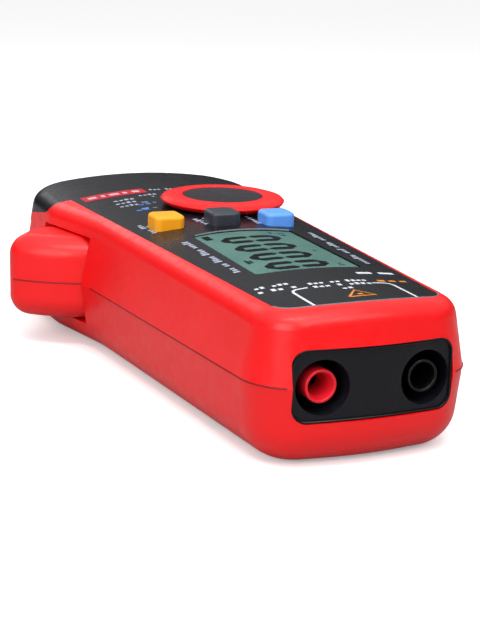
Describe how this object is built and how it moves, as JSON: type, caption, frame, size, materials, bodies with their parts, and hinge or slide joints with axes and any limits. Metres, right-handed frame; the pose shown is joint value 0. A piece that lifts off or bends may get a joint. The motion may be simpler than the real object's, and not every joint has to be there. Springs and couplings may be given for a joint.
{
  "type": "clamp meter",
  "caption": "Small hand-held clamp meter: red case, dark sloping face with display, keys and knob, split jaws opened by a side lever, two recessed test sockets in the end.",
  "frame": {"origin": "on the flat back, on the body's centre line, midway between the socket end and the jaw tips", "axes": "+Z out of the face, +Y towards the jaw tips, +X to the right seen from the socket end with the face up"},
  "size_m": [0.066, 0.1745, 0.0328],
  "materials": {
    "case_red": "fine moulded texture, satin",
    "face_dark": "smooth dark grey overlay, low sheen",
    "panel_black": "near-black moulded plastic",
    "socket_red": "moulded red plastic",
    "socket_black": "moulded black plastic",
    "contact_metal": "turned and plated",
    "window_clear": "clear moulded window",
    "lcd_cell": "liquid crystal cell, grey-green",
    "frame_white": "white moulded plastic",
    "strip_grey": "layered elastomer",
    "board_green": "circuit board with green resist",
    "chip_black": "moulded package",
    "screw_steel": "blackened steel",
    "key_yellow": "soft-touch yellow key",
    "key_grey": "soft-touch dark key",
    "key_blue": "soft-touch blue key",
    "knob_red": "moulded red ring",
    "knob_dark": "moulded dark cap",
    "rotor_white": "acetal",
    "cell_jacket": "printed battery jacket",
    "spring_steel": "bare spring wire and strip",
    "jaw_dark": "moulded dark grey, satin",
    "core_iron": "laminated nickel-iron core"
  },
  "bodies": {
    "housing": {"front_case": "case_red", "rear_case": "case_red", "front_bezel": "face_dark", "jack_panel": "panel_black", "red_socket_sleeve": "socket_red", "black_socket_sleeve": "socket_black", "red_socket_contact": "contact_metal", "black_socket_contact": "contact_metal", "lcd_window": "window_clear", "lcd_glass": "lcd_cell", "lcd_frame": "frame_white", "lcd_backlight": "frame_white", "zebra_strip": "strip_grey", "main_pcb": "board_green", "keypad_membrane": "strip_grey", "measurement_ic": "chip_black", "pcb_screws": "screw_steel", "buzzer": "chip_black", "battery_1": "cell_jacket", "battery_2": "cell_jacket", "battery_springs": "spring_steel", "battery_spring_plate": "spring_steel", "battery_contact_plate": "spring_steel", "battery_door": "case_red", "case_screws": "screw_steel", "battery_door_screw": "screw_steel", "pivot_pin": "spring_steel", "jaw_spring": "spring_steel", "fixed_jaw_front": "jaw_dark", "fixed_jaw_rear": "jaw_dark", "fixed_core": "core_iron", "hall_sensor": "chip_black"},
    "jaw_lever": {"moving_jaw_front": "jaw_dark", "moving_jaw_rear": "jaw_dark", "moving_core": "core_iron", "trigger_front": "case_red", "trigger_rear": "case_red"},
    "knob": {"knob_ring": "knob_red", "knob_cap": "knob_dark", "knob_rotor": "rotor_white", "rotor_contacts": "contact_metal"},
    "yellow_key": {"yellow_button": "key_yellow"},
    "grey_key": {"grey_button": "key_grey"},
    "blue_key": {"blue_button": "key_blue"}
  },
  "joints": [
    {"name": "jaw_hinge", "type": "hinge", "parent": "housing", "child": "jaw_lever", "pos_m": [-0.0145, 0.0257, 0.0143], "axis": [0, 0, 1], "range_deg": [0, 20], "stiffness_Nm_per_rad": 0.5, "springref_deg": -22.92},
    {"name": "knob_turn", "type": "hinge", "parent": "housing", "child": "knob", "pos_m": [0.0059, -0.00476, 0.03005], "axis": [0, -0.037, 0.9993], "range_deg": [-150, 0]},
    {"name": "yellow_key_press", "type": "slide", "parent": "housing", "child": "yellow_key", "axis": [0, 0.037, -0.9993], "range_m": [0, 0.0008], "stiffness_N_per_m": 400, "springref_m": -0.0005},
    {"name": "grey_key_press", "type": "slide", "parent": "housing", "child": "grey_key", "axis": [0, 0.037, -0.9993], "range_m": [0, 0.0008], "stiffness_N_per_m": 400, "springref_m": -0.0005},
    {"name": "blue_key_press", "type": "slide", "parent": "housing", "child": "blue_key", "axis": [0, 0.037, -0.9993], "range_m": [0, 0.0008], "stiffness_N_per_m": 400, "springref_m": -0.0005}
  ]
}
